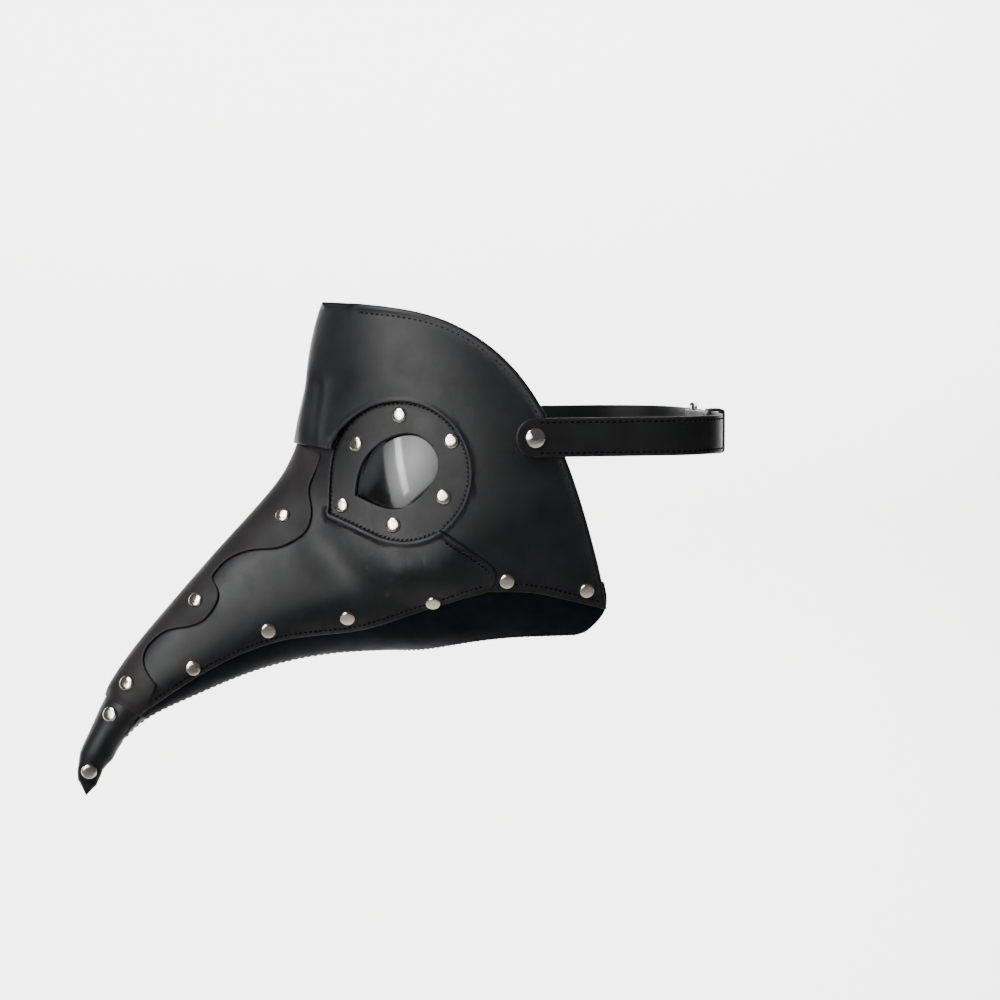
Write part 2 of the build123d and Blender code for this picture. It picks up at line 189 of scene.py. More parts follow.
def mask_skin(flat):
    """Points and normals of the worked surface for pattern places (s, b), where b is the
    distance round from the ridge in millimetres."""
    s = flat[:, 0]
    t = np.clip(flat[:, 1] / np.interp(s, stations, GIRTH), -0.9995, 0.9995)
    return worked(s, t), normals(worked, s, t)


def pattern(places, axes=(1, 2), turns=(0.0, 1.0), steps=12):
    """Pattern places (s, b) of points given by two coordinates, such as side view (y, z): the
    nearest of a grid of the form's points, then damped Newton steps."""
    places = np.asarray(places, float)
    s, t = np.meshgrid(np.linspace(0, STATION[-1], 260), np.linspace(*turns, 120), indexing="ij")
    grid = form(s, t)[..., list(axes)].reshape(-1, 2)
    found = [((grid - place) ** 2).sum(1).argmin() for place in places]
    s, t = s.ravel()[found], t.ravel()[found]
    for _ in range(steps):
        here = form(s, t)[:, list(axes)]
        by_s = (form(s + 0.1, t)[:, list(axes)] - here) / 0.1
        by_t = (form(s, t + 0.001)[:, list(axes)] - here) / 0.15
        jacobian = np.stack([by_s, by_t], -1)
        square = np.swapaxes(jacobian, 1, 2) @ jacobian + 0.01 * np.eye(2)
        pull = np.swapaxes(jacobian, 1, 2) @ (places - here)[..., None]
        move = np.clip(np.linalg.solve(square, pull)[..., 0], -3, 3)
        s = np.clip(s + move[:, 0], 0, STATION[-1])
        t = np.clip(t + move[:, 1] / 150, *turns)
    return np.stack([s, t * np.interp(s, stations, GIRTH)], -1)


def curve(points, step=1.2):
    """Even samples of the natural cubic spline through a few points."""
    points = np.array(points, float)
    at = run_length(points)
    where = np.linspace(0, at[-1], max(2, round(at[-1] / step)))
    return spline_at(at, points, spline_bend(at, points), where)


def straight(points, step=1.2):
    """Even samples of each straight run between points."""
    points = np.array(points, float)
    runs = [a + (b - a) * np.linspace(0, 1, max(2, round(np.linalg.norm(b - a) / step)))[:, None]
            for a, b in zip(points[:-1], points[1:])]
    return np.concatenate(runs)


print("dents and swellings", len(DENTS), "girth at the cheeks", round(GIRTH.max() * 2), "mm")

# %% [markdown]
# ## Filling a pattern
# A leather worker cuts a flat pattern and bends it. Here too an outline comes first, in pattern
# places. It is filled with small triangles by Delaunay's rule, which keeps them as even as it
# can. Rows just inside the edge give the rounding something to bend.

# %% Fill an outline
INSETS = (0.12, 0.3, 0.6, 1.1, 1.7, 2.3, 3.0)     # rows beside the edge, in millimetres


def tidy_loop(loop, least=0.35):
    """The loop without points that nearly repeat the one before."""
    gap = np.linalg.norm(loop - np.roll(loop, 1, axis=0), axis=1)
    keep = gap > least
    keep[0] = True
    return loop[keep]


def inside(points, loops):
    """Even-odd test: how often a ray from each point crosses the loops."""
    crossings = np.zeros(len(points), int)
    for loop in loops:
        a, b = loop, np.roll(loop, -1, axis=0)
        x, y = points[:, 0, None], points[:, 1, None]
        spans = (a[:, 1] > y) != (b[:, 1] > y)
        rise = np.where(b[:, 1] == a[:, 1], 1e-12, b[:, 1] - a[:, 1])
        crossings += (spans & (x < a[:, 0] + (y - a[:, 1]) * (b[:, 0] - a[:, 0]) / rise)).sum(1)
    return crossings % 2 == 1


def closed(loop):
    return np.concatenate([loop, loop[:1]])


def inset(loop, depth):
    """The loop moved inward: each point goes along the mean normal of its two edges."""
    step = np.roll(loop, -1, axis=0) - np.roll(loop, 1, axis=0)
    return loop + depth * unit(np.stack([-step[:, 1], step[:, 0]], -1))


def fill(loops, spacing):
    """Points and triangles that fill the first loop less the others: the loops themselves,
    rows just inside them, and an even grid."""
    loops = [tidy_loop(np.asarray(loop, float)) for loop in loops]
    cloud = []
    for loop in loops:
        for depth in INSETS:
            for way in (depth, -depth):
                row = inset(loop, way)
                fits = inside(row, loops)
                away = np.min([from_line(row, closed(other)) for other in loops], axis=0)
                cloud.append(row[fits & (away > depth * 0.85)])
    low, high = loops[0].min(0), loops[0].max(0)
    s, b = np.meshgrid(*[np.arange(low[k], high[k], spacing) for k in (0, 1)], indexing="ij")
    grid = np.stack([s, b], -1).reshape(-1, 2)
    grid = grid[inside(grid, loops)]
    away = np.min([from_line(grid, closed(loop)) for loop in loops], axis=0)
    cloud.append(grid[away > INSETS[-1] + spacing * 0.4])
    points = np.concatenate(loops + cloud)
    count = np.cumsum([0] + [len(loop) for loop in loops])
    edges = np.concatenate([np.stack([np.arange(a, z), np.roll(np.arange(a, z), -1)], -1)
                            for a, z in zip(count[:-1], count[1:])])
    made = delaunay_2d_cdt([Vector(p) for p in points], edges.tolist(), [], 0, 1e-5, False)
    points = np.array([p[:] for p in made[0]])
    triangles = np.array(made[2])
    kept = inside(points[triangles].mean(1), loops)
    return loops, points, triangles[kept]


print("rows beside each edge", len(INSETS), "the last", INSETS[-1], "mm in")

# %% [markdown]
# ## From a flat pattern to a piece of leather
# Each point of the filled pattern is carried to the form, and the piece gets a front, a back
# and a cut edge. The front rolls down to the edge as a quarter circle. A turned edge gets a
# rounded rim, and an edge that lies under another piece is skived, which means pared thin.

# %% Leather pieces
EDGE_ROUND = 0.6
BACK_ROUND = 0.25


def new_piece(name, points, faces, backs=None, smooth=True):
    """A mesh object from points in millimetres; backs marks the faces of the second material."""
    mesh = bpy.data.meshes.new(name)
    mesh.from_pydata((points * MM).tolist(), [], faces)
    mesh.polygons.foreach_set("use_smooth", [smooth] * len(mesh.polygons))
    if backs is not None:
        mesh.polygons.foreach_set("material_index", np.asarray(backs, np.int32))
    mesh.update()
    piece = bpy.data.objects.new(name, mesh)
    bpy.context.scene.collection.objects.link(piece)
    return piece


def rim_height(away, width, height):
    """A bead: half an ellipse over the strip next to the edge."""
    part = np.clip(1 - ((away - width / 2) / (width / 2)) ** 2, 0, 1)
    return height * np.sqrt(part)


def leather(name, loops, low, thick, skin=mask_skin, rims=(), skived=(), lift=None, spacing=2.2,
            flip=False):
    """A closed piece of leather of even thickness over the pattern loops. Its front lies at
    low + thick above the skin and rolls down at the edge. Rims are (line, width, height);
    skived edges are thinned: (line, reach, share of the thickness left)."""
    loops, flat, triangles = fill(loops, spacing)
    base, normal = skin(flat)
    edges = [closed(skin(loop)[0]) for loop in loops]
    away = np.min([from_line(base, edge) for edge in edges], axis=0)
    sunk = np.clip(EDGE_ROUND - away, 0, EDGE_ROUND)
    front = low + thick - EDGE_ROUND + np.sqrt(np.maximum(EDGE_ROUND ** 2 - sunk ** 2, 0))
    shrunk = np.clip(BACK_ROUND - away, 0, BACK_ROUND)
    back = low + BACK_ROUND - np.sqrt(np.maximum(BACK_ROUND ** 2 - shrunk ** 2, 0))
    for line, width, height in rims:
        front = front + rim_height(from_line(base, line), width, height)
    for line, reach, share in skived:
        part = np.clip(from_line(base, line) / reach, 0, 1)
        front = back + (front - back) * (share + (1 - share) * eased(part))
    if lift is not None:
        rise = lift(base)
        front, back = front + rise, back + rise
    count = len(flat)
    points = np.concatenate([base + normal * front[:, None], base + normal * back[:, None]])
    sides = np.concatenate([triangles[:, [0, 1]], triangles[:, [1, 2]], triangles[:, [2, 0]]])
    both = np.sort(sides, axis=1)
    _, place, times = np.unique(both, axis=0, return_index=True, return_counts=True)
    rim = sides[place[times == 1]]
    wall = np.stack([rim[:, 0], rim[:, 1], rim[:, 1] + count, rim[:, 0] + count], -1)
    faces = triangles[:, ::-1].tolist() + (triangles + count).tolist() + wall.tolist()
    backs = np.concatenate([np.zeros(len(triangles)), np.ones(len(triangles)), np.zeros(len(wall))])
    if flip:
        points = points * (-1, 1, 1)
        faces = [face[::-1] for face in faces]
    piece = new_piece(name, points, faces, backs)
    edge = piece.data.attributes.new("edge", "FLOAT", "POINT")
    edge.data.foreach_set("value", np.tile(away, 2).astype(np.float32))
    print(name, len(triangles) * 2 + len(wall) * 2, "triangles")
    return piece


print("edges round off over", EDGE_ROUND, "mm in front and", BACK_ROUND, "mm behind")

# %% [markdown]
# ## Shader helpers
# Each finish is built from the same few parts: noise read at the object's own coordinates, a
# ramp that sets its range, a mix of two colours, and bumps stacked from coarse to fine.

# %% Shader helpers


def node(tree, kind, **sockets):
    """A shader node with the given socket values."""
    made = tree.nodes.new(kind)
    for key, value in sockets.items():
        made.inputs[key.replace("_", " ")].default_value = value
    return made


def noise(tree, coordinates, scale, detail=3.0, roughness=0.5):
    made = node(tree, "ShaderNodeTexNoise", Scale=scale, Detail=detail, Roughness=roughness)
    tree.links.new(coordinates, made.inputs["Vector"])
    return made.outputs["Fac"]


def ramp(tree, value, low, high, out_low, out_high):
    """Maps low..high to out_low..out_high."""
    made = tree.nodes.new("ShaderNodeMapRange")
    numbers = {"From Min": low, "From Max": high, "To Min": out_low, "To Max": out_high}
    for key, number in numbers.items():
        made.inputs[key].default_value = number
    tree.links.new(value, made.inputs["Value"])
    return made.outputs["Result"]


def mix_color(tree, share, first, second):
    """Two colours, or colour sockets, mixed by a share."""
    made = tree.nodes.new("ShaderNodeMix")
    made.data_type = "RGBA"
    tree.links.new(share, made.inputs["Factor"])
    for slot, color in (("A", first), ("B", second)):
        socket = [i for i in made.inputs if i.name == slot and i.type == "RGBA"][0]
        if isinstance(color, bpy.types.NodeSocket):
            tree.links.new(color, socket)
        else:
            socket.default_value = (*color, 1)
    return [o for o in made.outputs if o.type == "RGBA"][0]


def new_material(name):
    material = bpy.data.materials.new(name)
    material.use_nodes = True
    tree = material.node_tree
    shader = tree.nodes["Principled BSDF"]
    coordinates = tree.nodes.new("ShaderNodeTexCoord").outputs["Object"]
    return material, tree, shader, coordinates


def stacked_bump(tree, shader, layers):
    """Bump from several heights: (height socket, distance in metres, strength)."""
    normal = None
    for height, distance, strength in layers:
        bump = node(tree, "ShaderNodeBump", Strength=strength, Distance=distance)
        tree.links.new(height, bump.inputs["Height"])
        if normal is not None:
            tree.links.new(normal, bump.inputs["Normal"])
        normal = bump.outputs["Normal"]
    tree.links.new(normal, shader.inputs["Normal"])


print("shader helpers ready")

# %% [markdown]
# ## Leather and its cloth back
# Faux leather is a thin plastic skin over cloth: nearly black, with a soft broad shine, a grain
# finer than a millimetre and faint wrinkles where it bends. Its edges are rubbed a little paler,
# and the attribute `edge`, the distance to the cut edge, says where. The back is brushed cloth.

# %% Leather finish


def leather_finish(name, color, shine=0.46, gloss=0.4, grain=0.5, wear=1.5):
    """Black faux leather: cloudy colour, fine pebble grain, faint wrinkles, paler edges."""
    material, tree, shader, at = new_material(name)
    dark = tuple(c * 0.78 for c in color)
    pale = tuple(c * 1.25 for c in color)
    cloudy = ramp(tree, noise(tree, at, 38, 4), 0.35, 0.65, 0, 1)
    body = mix_color(tree, cloudy, dark, pale)
    edge = tree.nodes.new("ShaderNodeAttribute")
    edge.attribute_name = "edge"
    worn = ramp(tree, edge.outputs["Fac"], 0.15, 1.2, 1, 0)
    rubbed = tree.nodes.new("ShaderNodeMath")
    rubbed.operation = "MULTIPLY"
    tree.links.new(worn, rubbed.inputs[0])
    tree.links.new(ramp(tree, noise(tree, at, 220, 3), 0.35, 0.7, 0.2, 0.9), rubbed.inputs[1])
    tree.links.new(mix_color(tree, rubbed.outputs[0], body, tuple(c * wear for c in color)),
                   shader.inputs["Base Color"])
    rough = ramp(tree, noise(tree, at, 90, 4), 0.3, 0.7, shine - 0.05, shine + 0.06)
    tree.links.new(rough, shader.inputs["Roughness"])
    shader.inputs["Specular IOR Level"].default_value = gloss
    pebble = tree.nodes.new("ShaderNodeTexVoronoi")
    pebble.feature = "SMOOTH_F1"
    pebble.inputs["Scale"].default_value = 1500
    tree.links.new(at, pebble.inputs["Vector"])
    stacked_bump(tree, shader, [
        (pebble.outputs["Distance"], 0.00006, grain),
        (noise(tree, at, 2600, 2), 0.00003, grain),
        (noise(tree, at, 55, 5, 0.6), 0.0006, 0.22),
    ])
    return material


def cloth_back(name, color):
    """Brushed cloth on the back of the leather."""
    material, tree, shader, at = new_material(name)
    fuzz = ramp(tree, noise(tree, at, 900, 4), 0.3, 0.7, 0, 1)
    pale = tuple(c * 1.5 for c in color)
    tree.links.new(mix_color(tree, fuzz, color, pale), shader.inputs["Base Color"])
    shader.inputs["Roughness"].default_value = 0.95
    shader.inputs["Sheen Weight"].default_value = 0.3
    stacked_bump(tree, shader, [(noise(tree, at, 1400, 4), 0.0002, 0.6)])
    return material


PANEL = leather_finish("panel_leather", (0.0085, 0.0087, 0.0100), shine=0.42, gloss=0.28)
# The jaw leather is the panel leather made darker, bluer and almost without shine: painted shade
# for the underside, also used on the window rings.
JAW_PAINTED_SHADE = leather_finish("jaw_leather", (0.0060, 0.0064, 0.0095), shine=0.60, gloss=0.03)
STRIP = leather_finish("strip_leather", (0.0135, 0.0120, 0.0122), shine=0.55, gloss=0.22)
PLATE = leather_finish("plate_leather", (0.0125, 0.0125, 0.0135), shine=0.45, gloss=0.30)
CORE = leather_finish("core_leather", (0.0040, 0.0040, 0.0044), shine=0.45, gloss=0.2, grain=0.8)
STRAP = leather_finish("strap_leather", (0.0110, 0.0110, 0.0120), shine=0.42, gloss=0.4)
BACKING = cloth_back("cloth_backing", (0.160, 0.155, 0.155))
print("leathers and backing", len(bpy.data.materials))

# %% [markdown]
# ## Nickel, window plastic and thread
# The rivets and the buckle are polished nickel with faint scuffs. The windows are smoked
# plastic. The thread is black and dull, so each stitch shows as a dark dot with a shadow.

# %% Metal, plastic and thread


def metal_finish(name, color, roughness=0.12):
    """Polished nickel with faint scuffs."""
    material, tree, shader, at = new_material(name)
    shader.inputs["Metallic"].default_value = 1.0
    cloudy = ramp(tree, noise(tree, at, 300, 3), 0.3, 0.7, 0, 1)
    tree.links.new(mix_color(tree, cloudy, color, tuple(c * 0.86 for c in color)),
                   shader.inputs["Base Color"])
    gloss = ramp(tree, noise(tree, at, 500, 4), 0.3, 0.7, roughness * 0.7, roughness * 1.5)
    tree.links.new(gloss, shader.inputs["Roughness"])
    stacked_bump(tree, shader, [(noise(tree, at, 700, 3), 0.00003, 0.3)])
    return material


def window_finish(name):
    """Smoked plastic with a soft skin shine."""
    material, tree, shader, at = new_material(name)
    smoke = ramp(tree, noise(tree, at, 60, 2), 0.3, 0.7, 0, 1)
    tree.links.new(mix_color(tree, smoke, (0.090, 0.092, 0.096), (0.120, 0.122, 0.126)),
                   shader.inputs["Base Color"])
    shader.inputs["Transmission Weight"].default_value = 0.97
    shader.inputs["IOR"].default_value = 1.75
    gloss = ramp(tree, noise(tree, at, 140, 3), 0.3, 0.7, 0.06, 0.12)
    tree.links.new(gloss, shader.inputs["Roughness"])
    return material


def thread_finish(name, color):
    """Dull thread: its plies show as fine slanted ribs."""
    material, tree, shader, at = new_material(name)
    ribs = node(tree, "ShaderNodeTexWave", Scale=900, Distortion=1.0)
    tree.links.new(at, ribs.inputs["Vector"])
    tree.links.new(mix_color(tree, ribs.outputs["Fac"], color, tuple(c * 2 for c in color)),
                   shader.inputs["Base Color"])
    shader.inputs["Roughness"].default_value = 0.85
    shader.inputs["Specular IOR Level"].default_value = 0.05
    stacked_bump(tree, shader, [(ribs.outputs["Fac"], 0.0001, 0.5)])
    return material


NICKEL = metal_finish("rivet_nickel", (0.88, 0.83, 0.75))
BUCKLE = metal_finish("buckle_nickel", (0.80, 0.79, 0.77), 0.2)
WINDOW = window_finish("window_plastic")
THREAD = thread_finish("black_thread", (0.0030, 0.0030, 0.0034))
print("materials", len(bpy.data.materials))


def dress(piece, slot, *materials, replaces=(), body="mask"):
    """Gives a piece its materials, its body and the CAD nodes it stands for; the slot argument is
    not used.
    """
    piece.data.materials.clear()
    for material in materials:
        piece.data.materials.append(material)
    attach(piece, body)
    if replaces:
        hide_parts(*replaces)
    return piece


SIDES = (("left", False), ("right", True))

# %% [markdown]
# ## Outlines
# The outlines are drawn in side view, as a cutter would draw them on the mask's profile: the
# round window with its one pointed corner, the brow and cheek seams, the hem that follows the
# jaw, and the scalloped strip. `pattern` carries them to the form.

# %% Outlines in side view (y, z), millimetres
EYE = np.array([3.6, 1.9])
EYE_HALF = np.array([31.3, 35.5])
EYE_CORNER = np.array([-29.9, -20.3])
# places round the window, in degrees: the corner's two tangents, the brow and the cheek seam
TANGENT_HIGH, TANGENT_LOW = 174, 246.5
BROW_MEETS, CHEEK_MEETS = 163.5, -56.1
UNDER_BROW = 151
BROW = [(-39, 13.9), (-31.4, 12.8), (-25.3, 11.6)]
BROW_UNDER = [(-38.2, 20.5), (-31, 19.8), (-23.78, 19.1)]
CHEEK = [(21, -27.5), (34, -36.4), (45.8, -44.6)]
CHEEK_END = [(45.8, -44.6), (48.8, -49), (48.6, -55.5), (46.5, -59.6)]
HEM = [
    (46.5, -59.6), (26.2, -66.7), (-13.6, -80.4), (-54.4, -85.6), (-75.1, -92.2), (-127.4, -124.2),
]
CHEEK_HEM = [(46.5, -59.6), (71.3, -60.7), (84.7, -63.8), (108, -69.5)]
REAR = [(108, -69.5), (98, -35), (79, 20), (58, 56), (25, 80), (-14, 88)]
CAP_TOP = (-139, -113.5)
CAP_SIDE = (-127.6, -124.4)
CAP_HEEL = (-136, -138)
LENS_HOLE = [
    (-18.4, -10.6), (-14.5, 6), (-3, 18.5), (9.5, 21), (20, 9), (13.5, -8.5), (1.5, -17),
    (-18.4, -10.6),
]
STRIP_EDGE = [
    (-31.5, 11.6), (-34.8, -1.7), (-37.5, -10), (-37.4, -18.3), (-38.7, -24.5), (-42.2, -30.3),
    (-48, -35.4), (-55, -39), (-65.6, -40.5), (-73.6, -43), (-80.4, -47.2), (-85.1, -52.2),
    (-87.1, -55.5), (-85.8, -59.5), (-85.6, -64.5), (-88.3, -70.1), (-94.1, -76.5), (-102.3, -80),
    (-110.3, -82), (-117.1, -86.8), (-122.1, -93.1), (-123.4, -98.5), (-121.5, -104.5),
    (-118.3, -108.8),
]
STRIP_CORNER = [(-118.3, -108.8), (-121.3, -114.7), (-127.4, -124.2)]
STRIP_END = [(-127.4, -124.2), (-141.4, -116.3)]


def window(start, end, scale=1.0):
    """Ellipse of the eye window from one angle to another, in degrees."""
    angle = np.radians(np.linspace(start, end, max(3, round(abs(end - start) / 2.2))))
    return EYE + scale * EYE_HALF * np.stack([np.cos(angle), np.sin(angle)], -1)


def corner(scale=1.0):
    """The two tangents on which the outline leaves the ellipse and meets in a point."""
    ends = np.radians([TANGENT_HIGH, TANGENT_LOW])
    ends = EYE + scale * EYE_HALF * np.stack([np.cos(ends), np.sin(ends)], -1)
    tip = EYE + scale * (EYE_CORNER - EYE)
    return straight([ends[0], tip, ends[1]])[1:-1]


def whole_window(scale=1.0):
    return np.concatenate([window(TANGENT_LOW - 360, TANGENT_HIGH, scale), corner(scale)])


BESIDE_RIDGE = 0.12      # in millimetres
BESIDE_SEAM = 0.9985     # share of the way round to the seam below


def ridge_run(first, last, step=1.5):
    """Pattern places just beside the ridge between two stations."""
    s = np.linspace(first, last, max(2, round(abs(last - first) / step)))
    return np.stack([s, np.full(len(s), BESIDE_RIDGE)], -1)


def both_sides(half):
    """A half outline that starts and ends on the midline, closed with its mirror image."""
    return np.concatenate([half, (half * (1, -1))[::-1][1:-1]])


brow = pattern(curve(BROW))
brow[0, 1] = 0
brow_under = pattern(np.concatenate([curve(BROW_UNDER), window(UNDER_BROW, BROW_MEETS)[1:]]))
window_front = pattern(np.concatenate([window(BROW_MEETS, TANGENT_HIGH), corner()]))
window_below = pattern(window(TANGENT_LOW, CHEEK_MEETS + 360))
window_low = np.concatenate([window_front, window_below])
window_high = pattern(window(BROW_MEETS, CHEEK_MEETS))
cheek = pattern(np.concatenate([curve(CHEEK), curve(CHEEK_END)[1:]]))
hem = pattern(curve(HEM))
cheek_hem = pattern(curve(CHEEK_HEM))
rear = pattern(curve(REAR))
cap_line = pattern(straight([CAP_TOP, CAP_SIDE]))
strip_edge = pattern(curve(STRIP_EDGE))
print("brow at", brow[0].round(), "hem", len(hem), "points")

# %% [markdown]
# ## Beak sides and face
# The two beak sides meet under the ridge strip. Their edge round the eye and along the cheek is
# turned over and sewn, which leaves a raised rim. The face piece runs over the forehead and down
# both cheeks; in front, where it laps over the ridge strip, it stands higher.

# %% Beak sides
top_of_cap = cap_line[0, 0]
side_loop = np.concatenate([
    brow_under, window_low[1:-1], cheek, hem[1:],
    pattern(straight([HEM[-1], CAP_SIDE, CAP_TOP]))[1:-1],
    ridge_run(top_of_cap, brow_under[0, 0])[:-1],
])
RIM_WIDTH = 3.2
RIM_HEIGHT = 0.9
corner_low = pattern(corner()[len(corner()) // 2:])
eye_rim = mask_skin(np.concatenate([corner_low, window_below]))[0]
cheek_rim = mask_skin(cheek[:-6])[0]
LEATHER = 1.6
for side, flip in SIDES:
    piece = leather(f"beak_side_{side}", [side_loop], 0.0, LEATHER, flip=flip,
                    rims=[(eye_rim, RIM_WIDTH, RIM_HEIGHT), (cheek_rim, RIM_WIDTH, RIM_HEIGHT)])
    dress(piece, "panel_leather", PANEL, BACKING, replaces=[f"side_panel_{side}"])

# %% Face
brow_line = mask_skin(brow[: len(brow) * 2 // 3])[0]
brow_line = np.concatenate([(brow_line * (-1, 1, 1))[::-1], brow_line])


LAP_RISE = 2.6
LAP_REACH = 34
LAP_RAMP = 28
TOP = (-25.5, 88)


def over_strip(points):
    """Rise of the face over the strip: all of it at the brow, and none past the reach."""
    return LAP_RISE * eased(np.clip((LAP_REACH - from_line(points, brow_line)) / LAP_RAMP, 0, 1))


top = pattern([TOP], turns=(0, 0.02))[0]
face_half = np.concatenate([
    brow, window_high[1:-1], cheek, cheek_hem[1:], rear[1:-1], [[top[0], 0]],
])
face_rims = [
    (mask_skin(line * (1, way))[0], width, height) for way in (1, -1)
    for line, width, height in (
        (window_high, RIM_WIDTH * 0.8, RIM_HEIGHT * 0.6), (rear, 3.4, 0.8))
]
face = leather("face", [both_sides(face_half)], 0.0, LEATHER, lift=over_strip, rims=face_rims)
dress(face, "panel_leather", PANEL, BACKING, replaces=["face_panel"])

# %% [markdown]
# ## Jaw, strip and cap
# The jaw pieces lie one layer lower, under the hem, and are whip-stitched to each other along
# the middle below. The strip covers the ridge seam, and its end covers the top of the tip's cap.
# Both ends of the strip are skived. Under the cap sits a closed core that runs to the point.

# %% Jaw and ridge strip
JAW_TOP = [
    (-127.4, -122), (-92, -93), (-64, -78), (-22, -66), (19, -57), (50, -46), (75, -48), (96, -51),
    (105.5, -56),
]
JAW_REAR = [(105.5, -56), (108, -69.5), (100, -84)]
THROAT = [(54.5, 96), (46, 60), (28, 32), (0, 12)]          # in plan view (x, y)
throat = pattern(curve(THROAT), axes=(0, 1), turns=(0.72, 1.0))
heel = pattern([CAP_HEEL])[0]
jaw_seam_s = np.linspace(throat[-1, 0], heel[0], 110)
jaw_seam = np.stack([jaw_seam_s, BESIDE_SEAM * np.interp(jaw_seam_s, stations, GIRTH)], -1)
jaw_loop = np.concatenate([
    pattern(curve(JAW_TOP)), pattern(curve(JAW_REAR))[1:], throat[:-1], jaw_seam,
    pattern(straight([CAP_HEEL, CAP_SIDE]))[1:],
])
GAP = 0.1
LINER = 1.6
# The jaw pieces use the painted-shade copy of the leather.
for side, flip in SIDES:
    piece = leather(f"jaw_{side}", [jaw_loop], -GAP - LINER, LINER, flip=flip)
    dress(piece, "jaw_leather", JAW_PAINTED_SHADE, BACKING, replaces=[f"lower_panel_{side}"])

TRIM = 1.5
TRIM_LOW = LEATHER + GAP
strip_top = brow[0, 0] + 4
strip_half = np.concatenate([
    [[strip_top, 0], [strip_top, strip_edge[0, 1]]], strip_edge,
    pattern(straight(STRIP_CORNER))[1:], pattern(straight(STRIP_END))[1:-1],
    [[pattern(STRIP_END[1:])[0, 0], 0]],
])
strip_tail = mask_skin(both_sides(pattern(straight(STRIP_END))))[0]
strip_width = strip_edge[0, 1]
strip_brow = mask_skin(np.array([[strip_top, b] for b in (-strip_width, 0, strip_width)]))[0]
strip = leather("ridge_strip", [both_sides(strip_half)], TRIM_LOW, TRIM, spacing=1.8,
                skived=[(strip_tail, 5, 0.5), (strip_brow, 14, 0.3)])
dress(strip, "strip_leather", STRIP, BACKING, replaces=["ridge_strip"])

# %% Tip cap and core
CAP_LOW = 14.0           # station of the cap's lower edge
EDGE_POINTS = 20
cap_under_s = np.linspace(heel[0], CAP_LOW + 3, 30)
cap_edge_b = np.linspace(0.95, 0, EDGE_POINTS) * np.interp(CAP_LOW, stations, GIRTH)
cap_edge_s = np.linspace(CAP_LOW + 2.7, CAP_LOW, EDGE_POINTS)
cap_point = 3.2 * np.exp(-(cap_edge_b / 2.2) ** 2)     # the edge dips to a point on the ridge
cap_half = np.concatenate([
    [[top_of_cap, 0]], cap_line[1:], pattern(straight([CAP_SIDE, CAP_HEEL]))[1:],
    np.stack([cap_under_s, BESIDE_SEAM * np.interp(cap_under_s, stations, GIRTH)], -1)[1:],
    np.stack([cap_edge_s - cap_point, cap_edge_b], -1),
])
cap_end = mask_skin(cap_half[-EDGE_POINTS:])[0]
cap_heel = mask_skin(pattern(straight([CAP_SIDE, CAP_HEEL]))[3:])[0]
thinned = [(line * (way, 1, 1), reach, share) for way in (1, -1)
           for line, reach, share in ((cap_end, 8, 0.4), (cap_heel, 14, 0.2))]
cap = leather("tip_cap", [both_sides(cap_half)], 0.0, LEATHER, spacing=1.6, skived=thinned)
dress(cap, "tip_leather", PANEL, BACKING, replaces=["tip_cap"])


def ring_faces(rings, sides):
    """Faces of a stack of rings of points, closed by a fan round one more point at each end."""
    a = np.arange((rings - 1) * sides)
    right = a - a % sides + (a + 1) % sides
    faces = np.stack([a, right, right + sides, a + sides], -1).tolist()
    ring = np.arange(sides)
    turned = (ring + 1) % sides
    first, low = np.full(sides, rings * sides), (rings - 1) * sides
    faces += np.stack([first, turned, ring], -1).tolist()
    faces += np.stack([first + 1, low + ring, low + turned], -1).tolist()
    return faces


POINT_LENGTH = 7


def tube(name, first, last, lift, rows=60, columns=48):
    """A closed skin of the form between two stations, narrowed to a point at its low end.
    Its lift above the form is (stations, lifts)."""
    share = np.linspace(0, 1, rows)
    s = (first + (last - first) * share)[:, None]
    t = np.linspace(-1, 1, columns, endpoint=False)[None, :]
    s, t = np.broadcast_arrays(s, t)
    flat = np.stack([s.ravel(), (t * np.interp(s, stations, GIRTH)).ravel()], -1)
    base, normal = mask_skin(flat)
    points = base + normal * np.interp(flat[:, 0], *lift)[:, None]
    rings = points.reshape(rows, columns, 3)
    middles = rings.mean(1, keepdims=True)
    narrow = np.clip((np.linspace(0.02, last, rows) / POINT_LENGTH) ** 0.75, 0, 1)[:, None, None]
    points = (middles + (rings - middles) * narrow).reshape(-1, 3)
    ends = [points[:columns].mean(0), points[-columns:].mean(0)]
    return new_piece(name, np.concatenate([points, ends]), ring_faces(rows, columns))


core = tube("tip_core", 0.0, 52.0, ([0, 3, 13, 17], [0.1, 0.55, 0.6, -GAP]))
dress(core, "core_leather", CORE, replaces=["tip_core"])

# %% [markdown]
# ## Eyes
# Behind each window lies a leather plate with the eye hole, then a bent sheet of clear plastic,
# then a ring that holds it. Rivets go through plate and ring.

# %% Eye plates, windows and rings
LENS = 1.4
LENS_LOW = -3.2
LENS_BULGE = 2.2
LENS_REACH = 22
LENS_DROP = 1.2
RING = 1.5
RING_LOW = -5.4
hole_line = curve(LENS_HOLE, 1.0)[:-1]
hole_middle = np.array([0.5, 2.0])
window_middle = mask_skin(pattern([EYE]))[0]


def grown_hole(scale):
    return pattern(hole_middle + (hole_line - hole_middle) * scale)


def lens_bulge(points):
    """The sheet springs outward between its edges: a shallow bowl over the eye."""
    across = np.linalg.norm(points - window_middle, axis=1)
    return LENS_BULGE * (1 - (across / LENS_REACH) ** 2) - LENS_DROP


